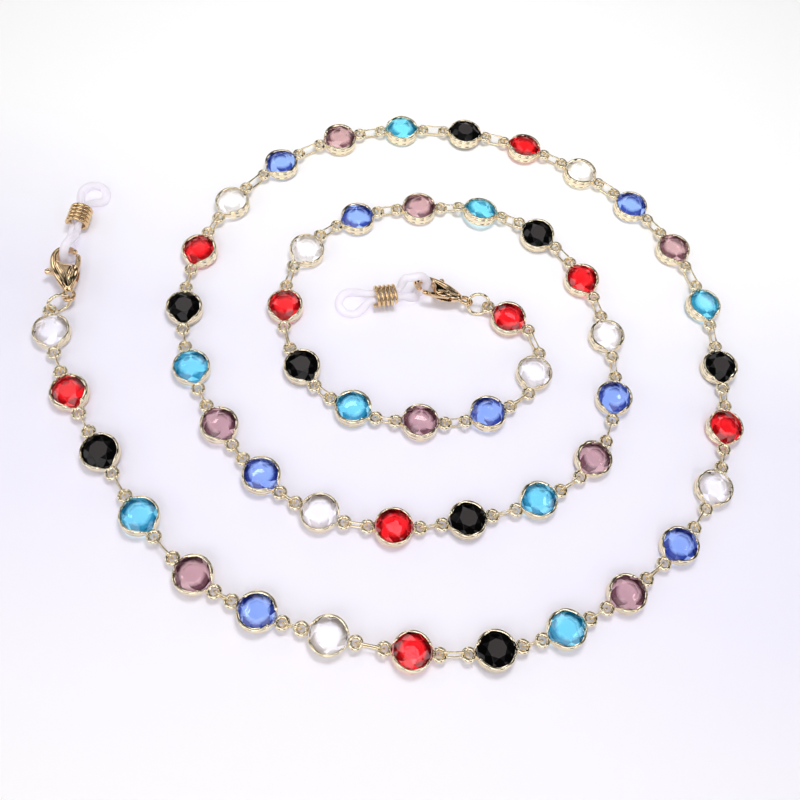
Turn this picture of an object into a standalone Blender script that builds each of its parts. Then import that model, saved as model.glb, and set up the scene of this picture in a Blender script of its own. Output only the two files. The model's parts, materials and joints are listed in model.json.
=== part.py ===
"""Eyeglasses chain strap: fifty channel-set crystals on loose links, a clasp and a silicone loop at each end.

Metres, +Z up. The strap lies coiled flat on the ground plane with its bounding box centred on the origin.
"""

import math

import bmesh
import bpy
from mathutils import Matrix, Vector

MM = 0.001
FLOOR = 0.0

# Crystal disc and the gold channel around it
DISC_SIDES = 10
STONE_HEIGHT = 3.0 * MM
TABLE_RADIUS = 2.0 * MM
CHANNEL_RADIUS = 3.5 * MM
CHANNEL_HALF_HEIGHT = 0.8 * MM
MID_HEIGHT = STONE_HEIGHT / 2

# Eyes at both ends of a channel
EYE_CENTRE = 4.65 * MM
EYE_RADIUS = 1.05 * MM
EYE_WIRE = 0.32 * MM
EYE_STEPS = 6

# Connector link: an upright stadium of wire
LINK_RADIUS = 1.05 * MM
LINK_WIRE = 0.30 * MM
LINK_NEAR_SHIFT = 0.68 * MM
LINK_ARC_STEPS = 4

# The crystal that stays put when the chain bends
ROOT_CRYSTAL = 26

# Jump ring
RING_RADIUS = 2.15 * MM
RING_WIRE = 0.27 * MM

# Lobster clasp; the tail seat is where the ring hangs in its tail eye
CLASP_HALF_THICKNESS = 0.95 * MM
CLASP_EDGE = 0.28 * MM
TAIL_CENTRE = -0.25 * MM
TAIL_HALF_LENGTH = 1.2 * MM
TAIL_HALF_WIDTH = 1.0 * MM
TAIL_WIRE = 0.38 * MM
TAIL_SEAT = 0.72 * MM
SLOT_HALF = 0.45 * MM
LEVER_HALF = 0.30 * MM
PIVOT = (3.6, -0.6)
PIN_RADIUS = 0.35 * MM
LEVER_HOLE = 0.47 * MM
HOOK_ARM = (9.95, -0.6)

# Silicone loop and the coil that slides on it
STRAND_RADIUS = 0.84 * MM
STRAND_CLEARANCE = 0.05 * MM
COIL_STRAND_RADIUS = 0.66 * MM
HOOK_BEND = 2.02 * MM
COIL_BEND = 0.74 * MM
TEMPLE_BEND = 2.55 * MM
COIL_TURNS = 5
COIL_PITCH = 0.86 * MM
COIL_WIRE = 0.34 * MM
COIL_RADIUS = 1.87 * MM
COIL_POINTS = 10

# The lie of the strap on the table, in millimetres: every second crystal, then the last one
ROUTE = [
    (-67, -1), (-50.5, -22.5), (-28.5, -40.5), (-4, -46), (24, -43), (45.5, -29), (60.5, -6),
    (61, 20), (50.5, 46.5), (29, 62), (2.5, 66.5), (-24, 58), (-42, 36), (-44.5, 9.5), (-31.5, -13),
    (-10, -25.5), (16, -21.5), (37.5, -5), (38, 22), (21.5, 43), (-4, 44), (-24.5, 28), (-19.5, 2),
    (4.5, -4.5), (24.5, 10.5), (18, 21.5),
]
HEADING_ROUNDS = 60
HEADING_GAIN = 0.15
# Where the strap comes from and goes to beyond the first and last crystals
LEAD_IN = (-70, 11.5)
LEAD_OUT = (6.4, 18.4)

COLOURS = ["clear", "red", "black", "aqua", "amethyst", "blue"]
CRYSTAL_RGB = {
    "clear": (0.86, 0.88, 0.90),
    "red": (0.62, 0.02, 0.03),
    "black": (0.01, 0.01, 0.012),
    "aqua": (0.06, 0.52, 0.72),
    "amethyst": (0.45, 0.20, 0.30),
    "blue": (0.10, 0.20, 0.62),
}
CRYSTAL_ROUGHNESS = {"clear": 0.05, "red": 0.06, "black": 0.08, "aqua": 0.05, "amethyst": 0.05, "blue": 0.06}

# Each end, in degrees and millimetres: the ring's heading (plan), rise and lean about its own axis, and its
# height in the crystal's eye; the clasp's heading, rise and roll; where the silicone starts to narrow, how
# far it bulges before that and how far it leans from the clasp at the hook; and its waypoints: both ends of
# the coil and the middle of the temple bend.
ENDS = {
    "outer": {
        "ring_heading": 46, "ring_rise": 8, "ring_lean": 84, "ring_near": 2.10,
        "clasp_heading": 112, "clasp_rise": 1.5, "clasp_roll": 0, "narrowing": 0.05, "bulge": 0.0,
        "hook_lean": 28,
        "coil_in": (-70.2, 22.7, 2.50), "coil_out": (-70.4, 27.1, 2.42), "temple": (-69.9, 31.4, 1.0),
    },
    "inner": {
        "ring_heading": 181, "ring_rise": 8, "ring_lean": 55, "ring_near": 1.75,
        "clasp_heading": 172, "clasp_rise": 4, "clasp_roll": 205, "narrowing": 0.3, "bulge": 0.35,
        "hook_lean": 35,
        "coil_in": (-5.0, 21.4, 2.55), "coil_out": (-9.2, 19.9, 2.42), "temple": (-13.2, 18.3, 1.0),
    },
}

# Clasp outlines in its own plane, in millimetres: x from the tail eye to the hook, y towards the hook's arm
BODY_OUTLINE = [
    (0.95, -0.75), (2.0, -1.5), (3.2, -2.2), (4.6, -2.62), (5.6, -2.6), (6.1, -2.05), (6.2, -1.0),
    (6.4, 0.0), (6.9, 0.9), (7.6, 1.38), (8.3, 1.5), (8.9, 1.25), (9.3, 0.7), (9.4, 0.0), (9.2, -0.75),
    (8.98, -1.45), (9.25, -1.95), (9.85, -1.75), (10.45, -0.9), (10.8, 0.1), (10.7, 1.0), (10.2, 1.9),
    (9.4, 2.6), (8.4, 2.95), (7.0, 2.95), (5.4, 2.75), (3.6, 2.2), (2.2, 1.5), (0.95, 0.75),
]
LEVER_OUTLINE = [
    (2.6, -0.6), (2.9, -1.35), (3.8, -1.7), (5.6, -2.42), (7.2, -2.75), (8.2, -2.62), (8.6, -2.25),
    (8.5, -1.85), (7.2, -1.78), (5.9, -1.4), (4.9, -0.3), (5.6, 1.4), (6.0, 2.6), (6.2, 3.6),
    (5.75, 4.1), (5.1, 3.9), (4.8, 2.6), (4.3, 1.2), (3.3, 0.45), (2.75, 0.0),
]

PARTS = None


def clear_scene():
    for obj in list(bpy.data.objects):
        bpy.data.objects.remove(obj, do_unlink=True)


def material(name, rgb, roughness, metallic):
    mat = bpy.data.materials.new(name)
    mat.use_nodes = True
    shader = mat.node_tree.nodes["Principled BSDF"]
    shader.inputs["Base Color"].default_value = (*rgb, 1.0)
    shader.inputs["Roughness"].default_value = roughness
    shader.inputs["Metallic"].default_value = metallic
    mat.diffuse_color = (*rgb, 1.0)
    return mat


def add_object(name, mesh, matrix=None):
    obj = bpy.data.objects.new(name, mesh)
    PARTS.objects.link(obj)
    if matrix is not None:
        obj.matrix_world = matrix
    return obj


def baked(obj):
    """The object's finished shape as a plain, welded mesh with its faces turned outwards."""
    bpy.context.view_layer.update()
    graph = bpy.context.evaluated_depsgraph_get()
    mesh = bpy.data.meshes.new_from_object(obj.evaluated_get(graph), depsgraph=graph)
    work = bmesh.new()
    work.from_mesh(mesh)
    bmesh.ops.remove_doubles(work, verts=work.verts, dist=1e-7)
    bmesh.ops.recalc_face_normals(work, faces=work.faces)
    work.to_mesh(mesh)
    work.free()
    return mesh


def convert(obj):
    """Replaces a curve or a modified object by a mesh object of the same name and place."""
    name = obj.name
    matrix = obj.matrix_world.copy()
    mesh = baked(obj)
    bpy.data.objects.remove(obj, do_unlink=True)
    mesh.name = name
    return add_object(name, mesh, matrix)


def combine(base, tool, operation):
    """Unites or cuts one object with another, leaving a single closed body."""
    modifier = base.modifiers.new(operation.title(), "BOOLEAN")
    modifier.operation = operation
    modifier.solver = "EXACT"
    modifier.object = tool
    result = convert(base)
    bpy.data.objects.remove(tool, do_unlink=True)
    return result


def smooth(obj, angle=math.radians(32)):
    obj.data.shade_smooth()
    obj.data.set_sharp_from_angle(angle=angle)


def wire(name, points, radius, cyclic, resolution, radii=None):
    """A round wire along a run of points."""
    curve = bpy.data.curves.new(name, "CURVE")
    curve.dimensions = "3D"
    curve.bevel_depth = radius
    curve.bevel_resolution = resolution
    curve.use_fill_caps = not cyclic
    spline = curve.splines.new("POLY")
    spline.points.add(len(points) - 1)
    for index, point in enumerate(points):
        spline.points[index].co = (*point, 1.0)
        spline.points[index].radius = radii[index] / radius if radii else 1.0
    spline.use_cyclic_u = cyclic
    return convert(add_object(name, curve))


def plate(name, outlines, half_thickness, edge):
    """A flat plate cut to an outline, with any further outlines as holes."""
    curve = bpy.data.curves.new(name, "CURVE")
    curve.dimensions = "2D"
    curve.fill_mode = "BOTH"
    curve.extrude = half_thickness - edge
    curve.bevel_depth = edge
    curve.bevel_resolution = 0
    curve.offset = -edge
    for outline in outlines:
        spline = curve.splines.new("POLY")
        spline.points.add(len(outline) - 1)
        for index, (x, y) in enumerate(outline):
            spline.points[index].co = (x, y, 0.0, 1.0)
        spline.use_cyclic_u = True
    return convert(add_object(name, curve))


def ring_points(centre, axis_u, axis_v, radius, steps, offset=0.0):
    points = []
    for step in range(steps):
        turn = 2 * math.pi * (step + offset) / steps
        points.append(centre + axis_u * radius * math.cos(turn) + axis_v * radius * math.sin(turn))
    return points


def frame(origin, x_axis, z_axis):
    """A matrix whose X is x_axis and whose Z is as near z_axis as that allows."""
    x = x_axis.normalized()
    y = z_axis.cross(x).normalized()
    z = x.cross(y)
    rotation = Matrix((x, y, z)).transposed()
    return Matrix.Translation(origin) @ rotation.to_4x4()


def heading_vector(degrees, rise=0.0):
    plan = math.radians(degrees)
    lift = math.radians(rise)
    return Vector((math.cos(plan) * math.cos(lift), math.sin(plan) * math.cos(lift), math.sin(lift)))


def turn_between(first, second):
    return math.atan2(first.x * second.y - first.y * second.x, first.dot(second))


def middle_of(before, start, end, after):
    """The point half way along one span of the route, which bends as a circle would."""
    chord = end - start
    turn = (turn_between(start - before, chord) + turn_between(chord, after - end)) / 2
    outwards = Vector((chord.y, -chord.x))
    return (start + end) / 2 + outwards * math.tan(turn / 4) / 2


def crystal_centres():
    """The centre of every crystal on the ground, from the outer end of the coil to the inner end."""
    knots = [Vector(p) * MM for p in [LEAD_IN, *ROUTE, LEAD_OUT]]
    centres = []
    for index in range(1, len(knots) - 2):
        centres.append(knots[index])
        if index < len(knots) - 3:
            centres.append(middle_of(*knots[index - 1:index + 3]))
    centres.append(knots[-2])
    return [Vector((c.x, c.y, MID_HEIGHT)) for c in centres]


def link_angle(centres, headings, index):
    """The heading of the link after a crystal; the links at both ends are given by the leads."""
    if index < 0:
        way = centres[0] - Vector((LEAD_IN[0] * MM, LEAD_IN[1] * MM, MID_HEIGHT))
        return math.atan2(way.y, way.x)
    if index >= len(centres) - 1:
        way = Vector((LEAD_OUT[0] * MM, LEAD_OUT[1] * MM, MID_HEIGHT)) - centres[-1]
        return math.atan2(way.y, way.x)
    start = centres[index] + heading_vector(math.degrees(headings[index])) * EYE_CENTRE
    end = centres[index + 1] - heading_vector(math.degrees(headings[index + 1])) * EYE_CENTRE
    way = end - start
    return math.atan2(way.y, way.x)


def crystal_headings(centres):
    """Turns every crystal until the chain bends as evenly as it can at both of its eyes."""
    headings = []
    for index, centre in enumerate(centres):
        ahead = centres[min(index + 1, len(centres) - 1)] - centres[max(index - 1, 0)]
        headings.append(math.atan2(ahead.y, ahead.x))
    for _ in range(HEADING_ROUNDS):
        for index in range(len(centres)):
            before = link_angle(centres, headings, index - 1) - headings[index]
            after = link_angle(centres, headings, index) - headings[index]
            swing = (math.sin(before) + math.sin(after)) / 2
            headings[index] += HEADING_GAIN * swing
    return headings


def crystal_frames():
    """One frame per crystal: X along the chain towards the inner end."""
    centres = crystal_centres()
    headings = crystal_headings(centres)
    frames = []
    for centre, heading in zip(centres, headings):
        frames.append(frame(centre, heading_vector(math.degrees(heading)), Vector((0, 0, 1))))
    return frames


def disc(name, place):
    """The crystal and its channel as one turned shape."""
    profile = [
        (0.0, MID_HEIGHT), (TABLE_RADIUS, MID_HEIGHT), (CHANNEL_RADIUS, CHANNEL_HALF_HEIGHT),
        (CHANNEL_RADIUS, -CHANNEL_HALF_HEIGHT), (TABLE_RADIUS, -MID_HEIGHT), (0.0, -MID_HEIGHT),
    ]
    mesh = bpy.data.meshes.new(name)
    edges = [(i, i + 1) for i in range(len(profile) - 1)]
    mesh.from_pydata([(x, 0.0, z) for x, z in profile], edges, [])
    obj = add_object(name, mesh, place)
    turned = obj.modifiers.new("Turn", "SCREW")
    turned.steps = DISC_SIDES
    turned.render_steps = DISC_SIDES
    turned.use_merge_vertices = True
    turned.merge_threshold = 1e-7
    return convert(obj)


def eye(name, place, side):
    """A flat wire eye on one side of the channel."""
    centre = place @ Vector((side * EYE_CENTRE, 0, 0))
    x_axis = place.to_3x3() @ Vector((1, 0, 0))
    y_axis = place.to_3x3() @ Vector((0, 1, 0))
    points = ring_points(centre, x_axis, y_axis, EYE_RADIUS, EYE_STEPS)
    return wire(name, points, EYE_WIRE, True, 0)


def link_ends(place, following):
    """Where the link crosses this crystal's front eye and the next crystal's rear eye, and its direction."""
    start = place @ Vector((EYE_CENTRE, 0, 0))
    end = following @ Vector((-EYE_CENTRE, 0, 0))
    along = (end - start).normalized()
    return start + along * EYE_RADIUS, end - along * EYE_RADIUS, along


def link(name, start, end, along):
    """An upright link from this crystal's front eye round the next crystal's rear eye."""
    up = Vector((0, 0, 1))
    near = start + along * LINK_NEAR_SHIFT
    points = []
    for step in range(LINK_ARC_STEPS + 1):
        turn = math.pi * step / LINK_ARC_STEPS
        points.append(end + up * LINK_RADIUS * math.cos(turn) + along * LINK_RADIUS * math.sin(turn))
    for step in range(LINK_ARC_STEPS + 1):
        turn = math.pi * step / LINK_ARC_STEPS
        points.append(near - up * LINK_RADIUS * math.cos(turn) - along * LINK_RADIUS * math.sin(turn))
    return wire(name, points, LINK_WIRE, True, 0)


def crystal_unit(number, place, following):
    """A crystal in its channel with both eyes and, unless it is the last, the link to the next crystal."""
    colour = COLOURS[(number - 1) % len(COLOURS)]
    name = f"crystal_{number:02d}_{colour}"
    unit = disc(name, place)
    for side in (-1, 1):
        unit = combine(unit, eye(f"{name}_eye", place, side), "UNION")
    if following is not None:
        unit = combine(unit, link(f"{name}_link", *link_ends(place, following)), "UNION")
    unit.data.materials.clear()
    unit.data.materials.append(
        material(f"{name}_finish", CRYSTAL_RGB[colour], CRYSTAL_ROUGHNESS[colour], 0.0)
    )
    return unit


def end_geometry(end, place):
    """The places of one end's ring, clasp and silicone loop, from the frame of its last crystal."""
    side = -1 if end == "outer" else 1
    spec = ENDS[end]
    eye_centre = place @ Vector((side * EYE_CENTRE, 0, 0))
    near = Vector((eye_centre.x, eye_centre.y, spec["ring_near"] * MM))
    along = heading_vector(spec["ring_heading"], spec["ring_rise"])
    across = Vector((0, 0, 1)).cross(along).normalized()
    upward = along.cross(across)
    lean = math.radians(spec["ring_lean"])
    slope = across * math.cos(lean) + upward * math.sin(lean)
    if end == "inner":
        slope = -across * math.cos(lean) + upward * math.sin(lean)
    far = near + along * 2 * RING_RADIUS
    clasp_x = heading_vector(spec["clasp_heading"], spec["clasp_rise"])
    clasp = frame(far + clasp_x * TAIL_SEAT, clasp_x, Vector((0, 0, 1)))
    clasp = clasp @ Matrix.Rotation(math.radians(spec["clasp_roll"]), 4, "X")
    return {
        "ring_centre": near + along * RING_RADIUS, "ring_along": along, "ring_slope": slope,
        "clasp": clasp, "coil_in": Vector(spec["coil_in"]) * MM, "coil_out": Vector(spec["coil_out"]) * MM,
        "temple": Vector(spec["temple"]) * MM, "narrowing": spec["narrowing"], "bulge": spec["bulge"] * MM,
        "hook_lean": spec["hook_lean"],
    }


def jump_ring(name, geometry):
    points = ring_points(
        geometry["ring_centre"], geometry["ring_along"], geometry["ring_slope"], RING_RADIUS, 20
    )
    return wire(name, points, RING_WIRE, True, 1)


def millimetre_outline(outline):
    return [(x * MM, y * MM) for x, y in outline]


def clasp_body(name, place):
    """The cast hook with its tail eye, slotted for the lever and carrying the lever's pin."""
    body = plate(name, [millimetre_outline(BODY_OUTLINE)], CLASP_HALF_THICKNESS, CLASP_EDGE)
    tail_points = ring_points(
        Vector((TAIL_CENTRE, 0, 0)), Vector((TAIL_HALF_LENGTH, 0, 0)), Vector((0, TAIL_HALF_WIDTH, 0)), 1.0, 12
    )
    body = combine(body, wire(f"{name}_tail", tail_points, TAIL_WIRE, True, 1), "UNION")
    slot = [(2.42, -4.0), (6.5, -4.0), (6.5, 4.0), (2.42, 4.0)]
    body = combine(body, plate(f"{name}_slot", [millimetre_outline(slot)], SLOT_HALF, 0.0), "DIFFERENCE")
    pivot = Vector((PIVOT[0] * MM, PIVOT[1] * MM, 0))
    pin_half = CLASP_HALF_THICKNESS + 0.12 * MM
    pin_points = [pivot + Vector((0, 0, -pin_half)), pivot + Vector((0, 0, pin_half))]
    body = combine(body, wire(f"{name}_pin", pin_points, PIN_RADIUS, False, 3), "UNION")
    seat = Matrix.Translation(Vector((-TAIL_SEAT, 0, 0)))
    body.data.transform(seat.inverted())
    body.matrix_world = place @ seat
    return body


def clasp_lever(name, place):
    """The sprung gate with its thumb tab, turning on the pin."""
    pivot = Vector((PIVOT[0] * MM, PIVOT[1] * MM, 0))
    hole = [(p.x, p.y) for p in ring_points(pivot, Vector((1, 0, 0)), Vector((0, 1, 0)), LEVER_HOLE, 10)]
    lever = plate(name, [millimetre_outline(LEVER_OUTLINE), hole], LEVER_HALF, 0.0)
    lever.data.transform(Matrix.Translation(-pivot))
    lever.matrix_world = place @ Matrix.Translation(pivot)
    return lever


def hermite(start, end, start_slope, end_slope, t):
    a = 2 * t ** 3 - 3 * t ** 2 + 1
    b = t ** 3 - 2 * t ** 2 + t
    c = -2 * t ** 3 + 3 * t ** 2
    d = t ** 3 - t ** 2
    return start * a + start_slope * b + end * c + end_slope * d


def ease(value):
    value = min(1.0, max(0.0, value))
    return value * value * (3 - 2 * value)


def loop_spine(geometry):
    """Stations down the middle of the silicone loop: (point, direction, half spread, twist)."""
    clasp = geometry["clasp"]
    start = clasp @ Vector((HOOK_ARM[0] * MM, HOOK_ARM[1] * MM, 0))
    lean = math.radians(geometry["hook_lean"])
    forward = clasp.to_3x3() @ Vector((math.cos(lean), -math.sin(lean), 0))
    forward.z = -abs(forward.z) / 2
    coil_in = geometry["coil_in"]
    coil_out = geometry["coil_out"]
    temple = geometry["temple"]
    axis = (coil_out - coil_in).normalized()
    reach = (coil_in - start).length
    stations = []
    for step in range(7):
        t = step / 7
        point = hermite(start, coil_in, forward * reach * 0.8, axis * reach, t)
        ahead = hermite(start, coil_in, forward * reach * 0.8, axis * reach, t + 0.01)
        narrowed = ease((t - geometry["narrowing"]) / (0.88 - geometry["narrowing"]))
        spread = HOOK_BEND + (COIL_BEND - HOOK_BEND) * narrowed
        spread += geometry["bulge"] * math.sin(math.pi * min(1.0, t / 0.7)) ** 2
        stations.append((point, (ahead - point).normalized(), spread, 0.62 * ease(t * 1.25)))
    for step in range(3):
        t = step / 2
        stations.append((coil_in.lerp(coil_out, t), axis, COIL_BEND, 0.62 + 0.2 * t))
    lobe = (temple - coil_out).length
    away = Vector((temple.x - coil_out.x, temple.y - coil_out.y, 0)).normalized()
    for step in range(1, 7):
        t = step / 6
        point = hermite(coil_out, temple, axis * lobe, away * lobe, t)
        behind = hermite(coil_out, temple, axis * lobe, away * lobe, t - 0.01)
        spread = COIL_BEND + (TEMPLE_BEND - COIL_BEND) * ease((t - 0.08) / 0.92)
        stations.append((point, (point - behind).normalized(), spread, 0.82 + 0.18 * ease(t * 1.2)))
    return stations


def loop_direction(direction, twist, clasp_normal):
    """The sideways direction of the two strands: square to the clasp at the hook, level at the temple bend."""
    level = direction.cross(Vector((0, 0, 1))).normalized()
    square = (clasp_normal - direction * clasp_normal.dot(direction)).normalized()
    angle = level.angle(square)
    sense = 1.0 if level.cross(square).dot(direction) > 0 else -1.0
    return Matrix.Rotation(sense * angle * (1 - twist), 3, direction) @ level


def silicone_loop(name, geometry):
    """The closed silicone band: a bend through the hook, a waist inside the coil, a bend for the temple."""
    clasp_normal = geometry["clasp"].to_3x3() @ Vector((0, 0, 1))
    if clasp_normal.z < 0:
        clasp_normal = -clasp_normal
    stations = loop_spine(geometry)
    first, last = [], []
    first_radii = []
    for point, direction, spread, twist in stations:
        across = loop_direction(direction, twist, clasp_normal)
        squeeze = ease((spread - COIL_BEND) / (0.9 * MM))
        radius = COIL_STRAND_RADIUS + (STRAND_RADIUS - COIL_STRAND_RADIUS) * squeeze
        lowest = point.z - spread * abs(across.z) - radius
        lift = Vector((0, 0, max(0.0, STRAND_CLEARANCE - lowest)))
        first.append(point + lift + across * spread)
        last.append(point + lift - across * spread)
        first_radii.append(radius)
    point, direction, spread, twist = stations[-1]
    across = loop_direction(direction, twist, clasp_normal)
    far_bend = []
    for step in range(1, 8):
        turn = math.pi * step / 8
        far_bend.append(point + across * spread * math.cos(turn) + direction * spread * math.sin(turn))
    point, direction, spread, twist = stations[0]
    across = loop_direction(direction, twist, clasp_normal)
    near_bend = []
    for step in range(1, 8):
        turn = math.pi * step / 8
        near_bend.append(point - across * spread * math.cos(turn) - direction * spread * math.sin(turn))
    points = [*first, *far_bend, *reversed(last), *near_bend]
    radii = [*first_radii, *[STRAND_RADIUS] * 7, *reversed(first_radii), *[STRAND_RADIUS] * 7]
    return wire(name, points, STRAND_RADIUS, True, 2, radii)


def coil_slider(name, geometry):
    """A close coil of wire around both strands."""
    coil_in = geometry["coil_in"]
    coil_out = geometry["coil_out"]
    axis = (coil_out - coil_in).normalized()
    middle = (coil_in + coil_out) / 2
    level = Vector((0, 0, 1)).cross(axis).normalized()
    upward = axis.cross(level)
    count = COIL_TURNS * COIL_POINTS
    points = []
    for step in range(count + 1):
        turn = 2 * math.pi * step / COIL_POINTS
        travel = (step / count - 0.5) * COIL_TURNS * COIL_PITCH
        points.append(
            axis * travel + level * COIL_RADIUS * math.cos(turn) + upward * COIL_RADIUS * math.sin(turn)
        )
    coil = wire(name, points, COIL_WIRE, False, 1)
    coil.location = middle
    return coil


def set_origin(obj, origin):
    """Moves an object's origin without moving its shape."""
    place = Matrix.Translation(origin)
    obj.data.transform(place.inverted() @ obj.matrix_world)
    obj.matrix_world = place


def crystal_origin(frames, number):
    """Where a crystal turns on its neighbour: on the side towards the crystal that stays put."""
    if number < ROOT_CRYSTAL:
        return link_ends(frames[number - 1], frames[number])[1]
    if number > ROOT_CRYSTAL:
        return link_ends(frames[number - 2], frames[number - 1])[1]
    return frames[number - 1].translation


def ring_hinge(end, place):
    """The outermost point of the last crystal's eye, where the jump ring swings."""
    side = -1 if end == "outer" else 1
    return place @ Vector((side * (EYE_CENTRE + EYE_RADIUS), 0, 0))


def finish_part(obj, rgb, roughness, metallic):
    obj.data.materials.clear()
    obj.data.materials.append(material(f"{obj.name}_finish", rgb, roughness, metallic))
    smooth(obj)


def build_end(end, place):
    """The jump ring, clasp, lever, silicone loop and coil at one end."""
    geometry = end_geometry(end, place)
    gold = (0.83, 0.62, 0.36)
    ring = jump_ring(f"{end}_jump_ring", geometry)
    finish_part(ring, (0.86, 0.70, 0.44), 0.18, 1.0)
    set_origin(ring, ring_hinge(end, place))
    finish_part(clasp_body(f"{end}_clasp_body", geometry["clasp"]), gold, 0.16, 1.0)
    finish_part(clasp_lever(f"{end}_clasp_lever", geometry["clasp"]), gold, 0.16, 1.0)
    loop = silicone_loop(f"{end}_silicone_loop", geometry)
    finish_part(loop, (0.90, 0.88, 0.91), 0.35, 0.0)
    hook = geometry["clasp"] @ Vector((HOOK_ARM[0] * MM, HOOK_ARM[1] * MM, 0))
    set_origin(loop, hook)
    finish_part(coil_slider(f"{end}_coil", geometry), gold, 0.2, 1.0)
    return geometry


def settle():
    """Centres the strap on the origin and rests its lowest point on the ground."""
    bpy.context.view_layer.update()
    low = Vector((1e9, 1e9, 1e9))
    high = -low
    for obj in PARTS.objects:
        for vertex in obj.data.vertices:
            point = obj.matrix_world @ vertex.co
            low = Vector(map(min, low, point))
            high = Vector(map(max, high, point))
    shift = Vector(((low.x + high.x) / 2, (low.y + high.y) / 2, low.z - FLOOR))
    for obj in PARTS.objects:
        obj.location = obj.location - shift
    bpy.context.view_layer.update()
    return shift


def build():
    frames = crystal_frames()
    for number, place in enumerate(frames, start=1):
        following = frames[number] if number < len(frames) else None
        unit = crystal_unit(number, place, following)
        smooth(unit, math.radians(25))
        set_origin(unit, crystal_origin(frames, number))
    ends = {"outer": build_end("outer", frames[0]), "inner": build_end("inner", frames[-1])}
    shift = settle()
    return frames, ends, shift


clear_scene()
PARTS = bpy.data.collections.new("eyeglasses_chain_strap")
bpy.context.scene.collection.children.link(PARTS)
FRAMES, END_GEOMETRY, SHIFT = build()
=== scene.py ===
"""How the eyeglasses chain strap looks: crystals, gold channels, links, clasps, silicone loops and coils.

Metres, +Z up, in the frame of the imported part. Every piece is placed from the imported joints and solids.
"""

import json
import math
import random

import bmesh
import bpy
from mathutils import Matrix, Vector

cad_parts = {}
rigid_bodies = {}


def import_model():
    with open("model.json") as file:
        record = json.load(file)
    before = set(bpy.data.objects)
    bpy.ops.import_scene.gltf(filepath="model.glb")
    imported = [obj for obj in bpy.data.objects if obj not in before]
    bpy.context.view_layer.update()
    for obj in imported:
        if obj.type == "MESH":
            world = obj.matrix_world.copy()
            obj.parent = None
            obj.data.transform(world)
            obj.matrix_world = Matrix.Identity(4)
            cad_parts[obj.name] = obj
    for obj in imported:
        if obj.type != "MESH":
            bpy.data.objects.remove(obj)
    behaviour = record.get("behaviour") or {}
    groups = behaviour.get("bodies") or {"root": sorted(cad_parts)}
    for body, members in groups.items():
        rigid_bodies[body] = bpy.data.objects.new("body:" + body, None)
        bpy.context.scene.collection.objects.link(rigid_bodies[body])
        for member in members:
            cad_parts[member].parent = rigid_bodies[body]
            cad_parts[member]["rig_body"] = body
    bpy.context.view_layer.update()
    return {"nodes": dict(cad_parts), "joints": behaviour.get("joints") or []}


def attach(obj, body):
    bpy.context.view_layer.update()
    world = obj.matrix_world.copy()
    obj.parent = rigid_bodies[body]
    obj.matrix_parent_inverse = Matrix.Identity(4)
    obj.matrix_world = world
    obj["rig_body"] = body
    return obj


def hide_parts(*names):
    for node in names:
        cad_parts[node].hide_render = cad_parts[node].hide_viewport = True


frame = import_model()

MM = 0.001
UP = Vector((0, 0, 1))
NODES = frame["nodes"]
JOINTS = {joint["name"]: joint for joint in frame["joints"]}
CRYSTALS = sorted(name for name in NODES if name.startswith("crystal_"))
COUNT = len(CRYSTALS)

# Camera and lights
CAMERA_TARGET = Vector((3.8, -10.3, 0.0)) * MM
CAMERA_ELEVATION = 64.5
CAMERA_DISTANCE = 165 * MM
CAMERA_ROLL = 11.3
CAMERA_LENS = 38.9
LAMP_PLACE = Vector((10, 34, 235)) * MM
LAMP_SIZE = 75 * MM
LAMP_POWER = 0.26
DOME_STRENGTH = 2.4
GAP_DIRECTION = (0.0, 0.43, 0.90)
BACKDROP = (0.90, 0.88, 0.93, 1.0)

# Floor: its half side, how far it lies under the strap, and its lavender tint with painted shade, darkest
# across the middle, from the near side to the far side
FLOOR_HALF = 1.6
FLOOR_DROP = 0.02 * MM
TINT_AND_SHADE_LENGTH = 200 * MM
FLOOR_TINTS_AND_SHADE = [
    (0.06, (0.99, 0.975, 0.99)), (0.30, (0.86, 0.84, 0.945)), (0.50, (0.82, 0.81, 0.905)),
    (0.72, (0.96, 0.96, 0.955)),
]

# Crystal: a double-sided cut with a flat table on each side, in millimetres where MM isn't written
TABLE_RADIUS = 1.62
TABLE_HEIGHT = 1.5
STAR_RADIUS = 2.42
GIRDLE_RADIUS = 3.2
GIRDLE_HALF = 0.6
STONE_SIDES = 8
STONE_BEVEL = 0.022 * MM
MID_HEIGHT = TABLE_HEIGHT * MM
RESTING_BELOW = 0.01 * MM
# How far crystals lie off level, in degrees, and those that roll further: number and roll
ROLL_MOST = 6
PITCH_MOST = 1.2
FAR_ROLLED = {39: -9, 40: 14}

# Channel: (radius, height) round one lip, whole and where it is cut away beside an eye, in millimetres
LIP = [
    (3.50, 0.00), (3.50, 0.28), (3.47, 0.44), (3.35, 0.53), (3.47, 0.62), (3.50, 0.82), (3.41, 1.00),
    (3.28, 1.07), (3.16, 1.06), (3.07, 0.97), (3.12, 0.84), (3.28, 0.00),
]
CUT_LIP = [
    (3.50, 0.00), (3.50, 0.16), (3.48, 0.26), (3.44, 0.32), (3.48, 0.38), (3.50, 0.47), (3.46, 0.54),
    (3.42, 0.57), (3.37, 0.55), (3.33, 0.48), (3.31, 0.36), (3.28, 0.00),
]
CHANNEL_RADIUS = 3.50
LIP_TOP = 1.07
CHANNEL_STEPS = 80
NOTCH_FROM = math.radians(8)
NOTCH_TO = math.radians(34)
PINCH = 0.26
PINCH_WIDTH = math.radians(13)
EYE_CENTRE = 4.65 * MM
EYE_RADIUS = 1.0 * MM
EYE_WIRE = 0.39 * MM
EYE_STRETCH = 1.12
# Neck between a channel and an eye: (distance from the middle, half width, half height)
NECK = [(3.60, 0.62, 0.42), (3.70, 0.54, 0.42), (3.82, 0.44, 0.38), (4.00, 0.36, 0.32)]

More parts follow.
